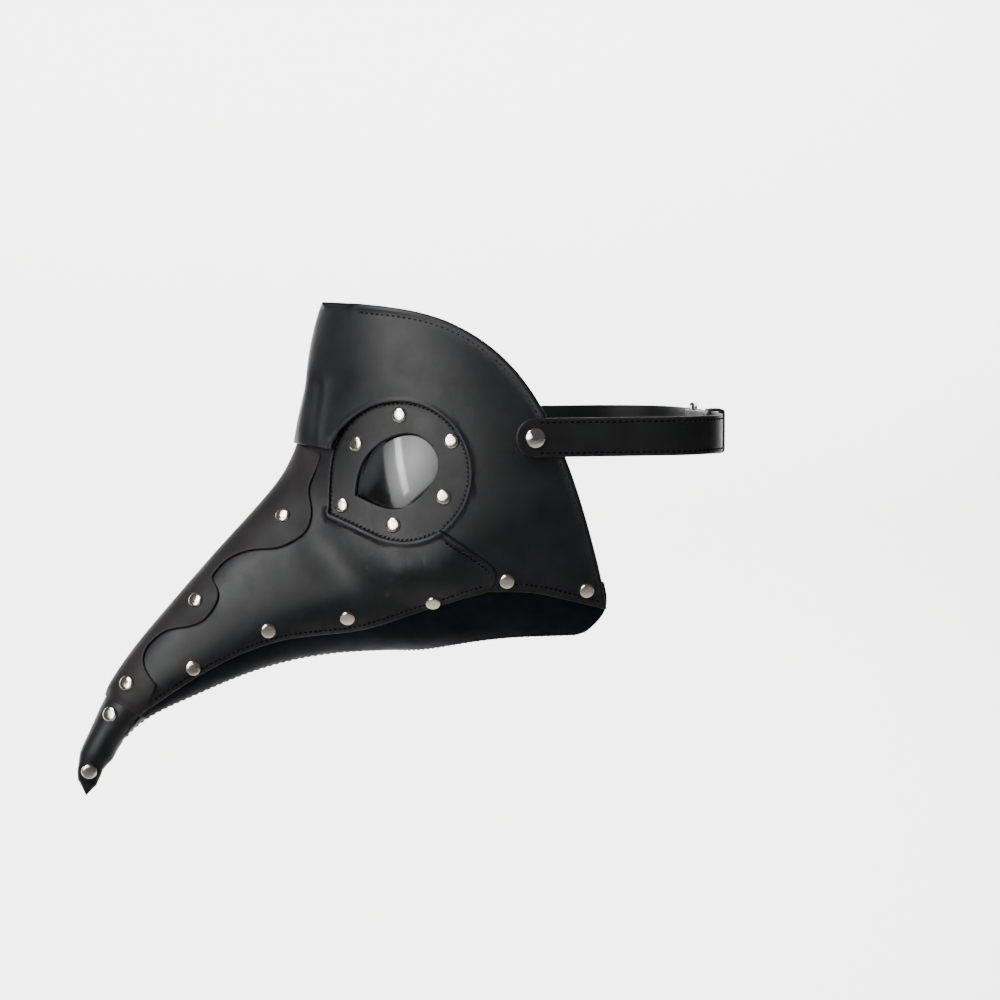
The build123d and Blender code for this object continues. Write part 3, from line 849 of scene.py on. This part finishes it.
plate_loops = [pattern(whole_window(1.15)), pattern(hole_line)]
lens_loops = [grown_hole(1.16)]
ring_loops = [pattern(whole_window(0.98)), grown_hole(1.05)]
for side, flip in SIDES:
    plate = leather(f"eye_plate_{side}", plate_loops, -GAP - LINER, LINER, spacing=1.8, flip=flip)
    dress(plate, "plate_leather", PLATE, BACKING, replaces=[f"eye_plate_{side}"])
    lens = leather(f"window_{side}", lens_loops, LENS_LOW, LENS, lift=lens_bulge, spacing=1.2,
                   flip=flip)
    dress(lens, "lens_clear", WINDOW, WINDOW, replaces=[f"lens_{side}"])
    # The ring uses the same painted-shade copy of the leather.
    ring = leather(f"window_ring_{side}", ring_loops, RING_LOW, RING, flip=flip)
    dress(ring, "retainer_leather", JAW_PAINTED_SHADE, BACKING, replaces=[f"lens_retainer_{side}"])

# %% [markdown]
# ## Rivets
# A rivet is turned: a domed cap with a small flat rim, a post and a washer. One profile spun
# round gives the mesh, and every rivet of a row stands along the leather's normal at its place.

# %% Rivets
RIDGE_PLACES = [(-50.8, -23), (-95.9, -66.8), (-131.8, -109)]
TIP_PLACES = [(-141.2, -124.4), (-152.6, -153.7)]
LOWER_PLACES = [
    (-100.2, -99.8), (-62.4, -80.3), (-22.4, -73.8), (19, -65.7), (54.7, -53.7), (96.1, -59.1),
]
EYE_PLACES = [(-24.5, -16), (-17, 15.7), (2.9, 30.9), (26.9, 18), (22.6, -10.6), (-1.2, -25.4)]
TRIM_LIFT = TRIM_LOW + TRIM


def lathe(profile, sides=28):
    """Points and faces of a profile (radius, height) spun round the height axis. A profile
    that starts and ends on the axis closes itself: its end points are one point each. The
    rings go down here, so each face is turned round."""
    profile = np.array(profile, float)
    angle = np.linspace(0, 2 * np.pi, sides, endpoint=False)
    rings = profile[1:-1]
    x = rings[:, 0, None] * np.cos(angle)
    y = rings[:, 0, None] * np.sin(angle)
    z = np.repeat(rings[:, 1, None], sides, axis=1)
    ends = profile[[0, -1], 1, None] * [[0, 0, 1]]
    points = np.concatenate([np.stack([x, y, z], -1).reshape(-1, 3), ends])
    return points, [face[:1] + face[:0:-1] for face in ring_faces(len(rings), sides)]


def rivet_profile(grip, washer=True):
    """Cap, rim, post and washer, from the top of the dome down to the washer's middle."""
    angle = np.linspace(0, 1, 12) * np.pi / 2
    dome = np.stack([3.9 * np.sin(angle) ** 0.75, 0.35 + 1.2 * np.cos(angle) ** 0.75], -1)
    under = [(4.0, 0.25), (3.95, 0.02), (1.3, 0.02), (1.3, -grip)]
    tail = [(0, -grip)]
    if washer:
        tail = [(3.0, -grip), (3.0, -grip - 0.6), (2.8, -grip - 0.75), (0, -grip - 0.75)]
    return [*dome, *under, *tail]


def repeated(faces, count, times):
    """The faces of one small mesh of `count` points, repeated for each copy of it."""
    return [[point + row * count for point in face] for row in range(times) for face in faces]


def place_rivets(name, places, lift, grip, flip, washer=True):
    """The turned rivet set on the leather at each side-view place."""
    points, faces = lathe(rivet_profile(grip, washer))
    base, normal = mask_skin(pattern(places))
    across = unit(np.cross(normal, [0, 0, 1.0]))
    axes = np.stack([across, np.cross(normal, across), normal], 1)
    spots = base + normal * lift
    placed = (np.einsum("pk,rkc->rpc", points, axes) + spots[:, None]).reshape(-1, 3)
    every = repeated(faces, len(points), len(places))
    if flip:
        placed = placed * (-1, 1, 1)
        every = [face[::-1] for face in every]
    return new_piece(name, placed, every)


ROWS = [
    ("ridge_rivets", RIDGE_PLACES, TRIM_LIFT, TRIM_LIFT + 0.5, True),
    ("tip_rivets", TIP_PLACES, LEATHER, 3.0, False),
    ("lower_rivets", LOWER_PLACES, LEATHER, 2 * LEATHER + 0.6, True),
    ("eye_rivets", EYE_PLACES, -GAP, 5.4, True),
]
for row_name, places, lift, grip, washer in ROWS:
    for side, flip in SIDES:
        piece = place_rivets(f"{row_name}_{side}_turned", places, lift, grip, flip, washer)
        dress(piece, "rivet_metal", NICKEL, replaces=[f"{row_name}_{side}"])
print("rivet rows", 2 * len(ROWS))

# %% [markdown]
# ## Thread
# One stitch is a short fat bead of thread. Running stitches lie along a seam, whip stitches lie
# across an edge and wrap it. Each is the same small bead, turned and set along a line.

# %% Stitches


def bead(length, radius, sides=6, rings=5):
    """A bead along x: its radius follows (1 - u^4)^(1/2) from end to end."""
    u = np.linspace(-0.97, 0.97, rings)
    round_ = radius * np.sqrt(1 - u ** 4)
    angle = np.linspace(0, 2 * np.pi, sides, endpoint=False)
    x = np.repeat((u * length / 2)[:, None], sides, 1)
    body = np.stack([x, round_[:, None] * np.cos(angle), round_[:, None] * np.sin(angle)], -1)
    points = np.concatenate([body.reshape(-1, 3), [[-length / 2, 0, 0], [length / 2, 0, 0]]])
    return points, ring_faces(rings, sides)


def sew(name, line, pitch, length, radius, lift, lean=0.0, skin=mask_skin, flip=False):
    """Beads every `pitch` along a pattern line, `lift` above the skin, turned by `lean` degrees
    from the line about the surface's normal."""
    base, _ = skin(line)
    run = run_length(base)
    where = np.arange(pitch / 2, run[-1], pitch)
    flat = np.stack([np.interp(where, run, line[:, k]) for k in (0, 1)], -1)
    spot, normal = skin(flat)
    after, before = (np.stack([np.interp(where + way, run, base[:, k]) for k in range(3)], -1)
                     for way in (0.4, -0.4))
    ahead = after - before
    ahead = unit(ahead - normal * (ahead * normal).sum(1, keepdims=True))
    side = np.cross(normal, ahead)
    cos, sin = np.cos(np.radians(lean)), np.sin(np.radians(lean))
    axes = np.stack([cos * ahead + sin * side, cos * side - sin * ahead, normal], 1)
    points, faces = bead(length, radius)
    spots = spot + normal * lift
    placed = (np.einsum("pk,rkc->rpc", points, axes) + spots[:, None]).reshape(-1, 3)
    every = repeated(faces, len(points), len(where))
    if flip:
        placed = placed * (-1, 1, 1)
        every = [face[::-1] for face in every]
    return new_piece(name, placed, every)


def beside(line, depth):
    """A pattern line moved sideways, to its left as it runs."""
    step = np.gradient(line, axis=0)
    return line + depth * unit(np.stack([-step[:, 1], step[:, 0]], -1))


# line, depth from it, pitch, stitch length, radius, lift above the skin, lean in degrees
SEAMS = [
    ("hem", hem[3:-8], 3.0, 2.6, 1.8, 0.50, LEATHER, 4),
    ("cheek_hem", cheek_hem[3:-2], -3.0, 2.6, 1.8, 0.50, LEATHER, 4),
    ("cheek_seam", cheek[2:-6], 2.6, 2.4, 1.9, 0.55, LEATHER + 0.1, 14),
    ("eye_low", window_low[2:-2], -0.25, 2.4, 1.8, 0.36, 0.9, 55),
    ("eye_high", window_high[2:-2], 0.25, 2.4, 1.8, 0.36, 0.9, 55),
    ("throat", throat[:-2], 0.9, 3.4, 2.4, 0.42, 0.0, 75),
    ("rear", rear[2:-2], -3.9, 3.0, 1.8, 0.40, LEATHER, 4),
]
for side, flip in SIDES:
    for seam, line, depth, pitch, length, radius, lift, lean in SEAMS:
        piece = sew(f"{seam}_thread_{side}", beside(line, depth), pitch, length, radius, lift, lean,
                    flip=flip)
        dress(piece, "core_leather", THREAD)

jaw_middle = jaw_seam[4:-2]
chin = sew("jaw_whip_thread", jaw_middle, 3.5, 5.6, 1.1, -0.65, 66)
dress(chin, "core_leather", THREAD)
print("seams", len(SEAMS) * 2 + 1)

# %% [markdown]
# ## Head strap
# Each strap is one flat band: its pattern is length along the band by height, and the path in
# plan view bends it. The left band folds round the buckle's heel bar; the right band goes
# through the buckle and lies on the left one under a keeper. Both are sewn along their edges.

# %% Bands
STRAP_Z = 20.0
STRAP_HALF = 10.0
HEEL_BAR = (-8.0, 180.05)
FOLD_ROUND = 2.55
BILLET_Y = (185.3, 181.9)     # over the buckle, and past it on the left band
STUD_HOLE = 1.96
PUNCHED = 2.8


def rounded_path(corners, radii, step=0.8):
    """Even samples along straight runs joined by arcs that touch both runs."""
    corners = np.array(corners, float)
    out = [corners[:1]]
    for before, middle, after, radius in zip(corners[:-2], corners[1:-1], corners[2:], radii):
        back, on = unit(before - middle), unit(after - middle)
        half = np.arccos(np.clip(back @ on, -1, 1)) / 2
        centre = middle + unit(back + on) * radius / np.sin(half)
        start = middle + back * radius / np.tan(half) - centre
        end = middle + on * radius / np.tan(half) - centre
        swing = np.arctan2(start[0] * end[1] - start[1] * end[0], start @ end)
        turn = np.linspace(0, swing, 24)[:, None]
        side = np.array([-start[1], start[0]])
        out.append(centre + np.cos(turn) * start + np.sin(turn) * side)
    out.append(corners[-1:])
    return straight(np.concatenate(out), step)


def band_skin(path, way):
    """Skin of a band along a plan-view path: pattern places are (length, -way * height)."""
    path = tidy_loop(path, 1e-6)
    length = run_length(path)
    ahead = unit(np.gradient(path, axis=0))

    def skin(flat):
        x, y = [np.interp(flat[:, 0], length, path[:, k]) for k in (0, 1)]
        dx, dy = [np.interp(flat[:, 0], length, ahead[:, k]) for k in (0, 1)]
        normal = way * unit(np.stack([dy, -dx, np.zeros(len(flat))], -1))
        return np.stack([x, y, STRAP_Z - way * flat[:, 1]], -1), normal

    return skin, length, path


fold_turn = np.radians(np.linspace(270, 90, 24))
fold = np.array(HEEL_BAR) + FOLD_ROUND * np.stack([np.cos(fold_turn), np.sin(fold_turn)], -1)
left_path = np.concatenate([
    rounded_path([(81, 56), (81, 177.5), (-8, 177.5)], [40]), fold[1:-1],
    rounded_path([(-8, 182.6), (-5, 182.6), (4, 179.6), (24, 179.6)], [6, 6]),
])
right_path = rounded_path([
    (-81, 56), (-81, BILLET_Y[0]), (-6, BILLET_Y[0]), (12, BILLET_Y[1]), (38, BILLET_Y[1]),
], [40, 20, 20])


def band_outline(total, point):
    """A band's outline: round at the front about the stud, square or pointed at the far end."""
    turn = np.radians(np.linspace(90, 270, 40))
    front = np.stack([STRAP_HALF + STRAP_HALF * np.cos(turn), STRAP_HALF * np.sin(turn)], -1)
    cut = STRAP_HALF - point * 0.8
    rest = [(STRAP_HALF, -STRAP_HALF), (total - point, -STRAP_HALF), (total, -cut),
            (total, cut), (total - point, STRAP_HALF), (STRAP_HALF, STRAP_HALF)]
    return np.concatenate([front, straight(rest, 1.6)[1:-1]])


def hole(middle, half_length, half_height, corners=2.0):
    """A superellipse hole in a band's pattern."""
    turn = np.linspace(0, 2 * np.pi, 24, endpoint=False)
    x, y = np.cos(turn), np.sin(turn)
    return np.stack([middle + half_length * np.sign(x) * np.abs(x) ** (2 / corners),
                     half_height * np.sign(y) * np.abs(y) ** (2 / corners)], -1)


left_skin, left_length, left_path = band_skin(left_path, 1)
right_skin, right_length, right_path = band_skin(right_path, -1)
slot_middle = (HEEL_BAR[0] - FOLD_ROUND, HEEL_BAR[1])
slot_at = left_length[np.hypot(*(left_path - slot_middle).T).argmin()]
punched = [right_length[np.abs(right_path - (x, y)).sum(1).argmin()]
           for y, row in zip(BILLET_Y, ((-29, -17, -5), (7, 19, 31))) for x in row]
stud_hole = hole(STRAP_HALF, STUD_HOLE, STUD_HOLE)
left_loops = [band_outline(left_length[-1], 2.5), stud_hole, hole(slot_at, 8.0, 3.0, 4)]
right_loops = [band_outline(right_length[-1], 6.0), stud_hole]
right_loops += [hole(place, PUNCHED, PUNCHED) for place in punched]
for side, loops, skin, total in (("left", left_loops, left_skin, left_length[-1]),
                                 ("right", right_loops, right_skin, right_length[-1])):
    band = leather(f"head_band_{side}", loops, -1.0, 2.0, skin=skin, spacing=2.4)
    dress(band, "strap_leather", STRAP, STRAP, replaces=[f"strap_{side}"], body="head_strap")
    last = total - (30 if side == "left" else 17)
    for edge, height in (("upper", 7.8), ("lower", -7.8)):
        line = straight([(12, height), (last, height)], 4)
        thread = sew(f"band_thread_{edge}_{side}", line, 3.2, 2.1, 0.4, 1.0, 3, skin=skin)
        dress(thread, "strap_leather", THREAD, body="head_strap")

print("band lengths", round(left_length[-1]), round(right_length[-1]), "mm")

# %% [markdown]
# ## Keeper
# The keeper is a narrow loop of the same leather round both bands. Its path lies in the plane
# across the bands, so it gets a skin of its own.

# %% Keeper
KEEPER_X = 31
keeper_path = rounded_path([(175.45, 20), (175.45, 31.15), (183.95, 31.15), (183.95, 8.85),
                            (175.45, 8.85), (175.45, 19.6)], [1.6, 1.6, 1.6, 1.6], 0.6)
keeper_length = run_length(keeper_path)


def keeper_skin(flat):
    """The keeper's loop: pattern places are (length round it, distance across from its middle)."""
    ahead = np.gradient(keeper_path, axis=0)
    y, z = [np.interp(flat[:, 0], keeper_length, keeper_path[:, k]) for k in (0, 1)]
    dy, dz = [np.interp(flat[:, 0], keeper_length, ahead[:, k]) for k in (0, 1)]
    normal = unit(np.stack([np.zeros(len(flat)), -dz, dy], -1))
    return np.stack([KEEPER_X + flat[:, 1], y, z], -1), normal


loop_end = keeper_length[-1]
keeper_corners = [(0, -3.5), (loop_end, -3.5), (loop_end, 3.5), (0, 3.5), (0, -3.5)]
keeper_loop = straight(keeper_corners, 0.9)[:-1]
keeper = leather("keeper_loop", [keeper_loop], -0.75, 1.5, skin=keeper_skin, spacing=1.2)
dress(keeper, "strap_leather", STRAP, STRAP, replaces=["strap_keeper"], body="keeper")
for edge, across in (("front", -2.3), ("back", 2.3)):
    line = straight([(2, across), (loop_end - 2, across)], 1)
    thread = sew(f"keeper_thread_{edge}", line, 2.6, 1.8, 0.3, 0.75, 3, skin=keeper_skin)
    dress(thread, "strap_leather", THREAD, body="keeper")
print("keeper", round(loop_end), "mm round")

# %% [markdown]
# ## Camera
# A long lens looks at the wearer's left side from a little in front and a little above.

# %% Camera
AIM = Vector((18.4, 64.4, -15.9)) * MM
VIEW = Vector((0.9636, -0.2582, 0.0698))
DISTANCE = 1.6
VIEW_WIDTH = 0.53
SENSOR = 36
camera_data = bpy.data.cameras.new("camera")
camera_data.sensor_width = SENSOR
camera_data.lens = SENSOR * DISTANCE / VIEW_WIDTH
camera = bpy.data.objects.new("camera", camera_data)
camera.location = AIM + VIEW * DISTANCE
camera.rotation_euler = (-VIEW).to_track_quat("-Z", "Y").to_euler()
bpy.context.scene.collection.objects.link(camera)
bpy.context.scene.camera = camera
print("lens", round(camera_data.lens), "mm")

# %% [markdown]
# ## Floor
# The floor runs back and sweeps up into a wall, so no line shows between the two. It lies far
# below the mask, because black leather mirrors whatever pale thing is near it.

# %% Floor
FLOOR = -1.1
SWEEP = 0.9
WALL = -2.3
turn = np.linspace(0, np.pi / 2, 24)
bend = np.stack([WALL + SWEEP * (1 - np.sin(turn)), FLOOR + SWEEP * (1 - np.cos(turn))], -1)
profile = np.concatenate([[[9.0, FLOOR]], bend, [[WALL, 1.2]]])
rows = len(profile)
stage_points = [(x, y, z) for y in (-9.0, 9.0) for x, z in profile]
stage_faces = [(k, k + 1, k + 1 + rows, k + rows) for k in range(rows - 1)]
floor_mesh = bpy.data.meshes.new("floor")
floor_mesh.from_pydata(stage_points, [], stage_faces)
floor_mesh.polygons.foreach_set("use_smooth", [True] * len(stage_faces))
floor = bpy.data.objects.new("floor", floor_mesh)
bpy.context.scene.collection.objects.link(floor)
floor_material, _, floor_shader, _ = new_material("pale_floor")
floor_shader.inputs["Base Color"].default_value = (0.86, 0.86, 0.85, 1)
floor_shader.inputs["Roughness"].default_value = 0.9
floor_mesh.materials.append(floor_material)
print("floor at", FLOOR, "m")

# %% [markdown]
# ## Light
# A soft key light stands above the beak. A big card stands where the near window mirrors it,
# with a brighter strip on it, and a long light brightens the wall. Each has a grid, so that its
# light misses the floor, and the room itself is dim. That keeps the leather black.

# %% Light
world = bpy.data.worlds.new("room")
bpy.context.scene.world = world
world.use_nodes = True
world.node_tree.nodes["Background"].inputs["Color"].default_value = (0.95, 0.96, 1.0, 1)
world.node_tree.nodes["Background"].inputs["Strength"].default_value = 0.09
CARD_LEAN = np.radians(30)


def softbox(name, place, aim, size, radiance, spread=180):
    """A rectangular light at `place`, turned to face `aim`, of the given brightness; a grid
    on its front can hold the beam to `spread` degrees."""
    data = bpy.data.lights.new(name, "AREA")
    data.shape = "RECTANGLE"
    data.size, data.size_y = size
    data.spread = np.radians(spread)
    data.energy = radiance * np.pi * size[0] * size[1]
    light = bpy.data.objects.new(name, data)
    light.location = place
    light.rotation_euler = (Vector(aim) - Vector(place)).to_track_quat("-Z", "Y").to_euler()
    bpy.context.scene.collection.objects.link(light)
    return light


softbox("key", (0.75, -1.25, 1.5), (0, 0, -0.05), (0.9, 0.9), 1.8, 60)
card = softbox("window_card", (1.08, -1.04, 0.33), (0.045, 0, 0), (1.25, 1.3), 0.85, 70)
streak = softbox("window_streak", (0.85, -1.17, 0.30), (0.045, 0, 0), (0.13, 1.1), 1.5, 70)
for light in (card, streak):
    light.rotation_euler.rotate_axis("Z", CARD_LEAN)
softbox("wall_light", (-0.8, 0, 1.5), (WALL, 0, -0.2), (5.0, 0.7), 22, 100)
print("lights", len(bpy.data.lights))

# %% [markdown]
# ## Studs and buckle
# The temple studs and the buckle's parts keep their shape from the frame and only get a metal.

# %% Studs and buckle
METAL_PARTS = {
    "temple_stud_left": NICKEL, "temple_stud_right": NICKEL,
    "buckle_frame": BUCKLE, "buckle_roller": BUCKLE, "buckle_prong": BUCKLE,
}
for name, metal in METAL_PARTS.items():
    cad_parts[name].data.materials.clear()
    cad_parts[name].data.materials.append(metal)
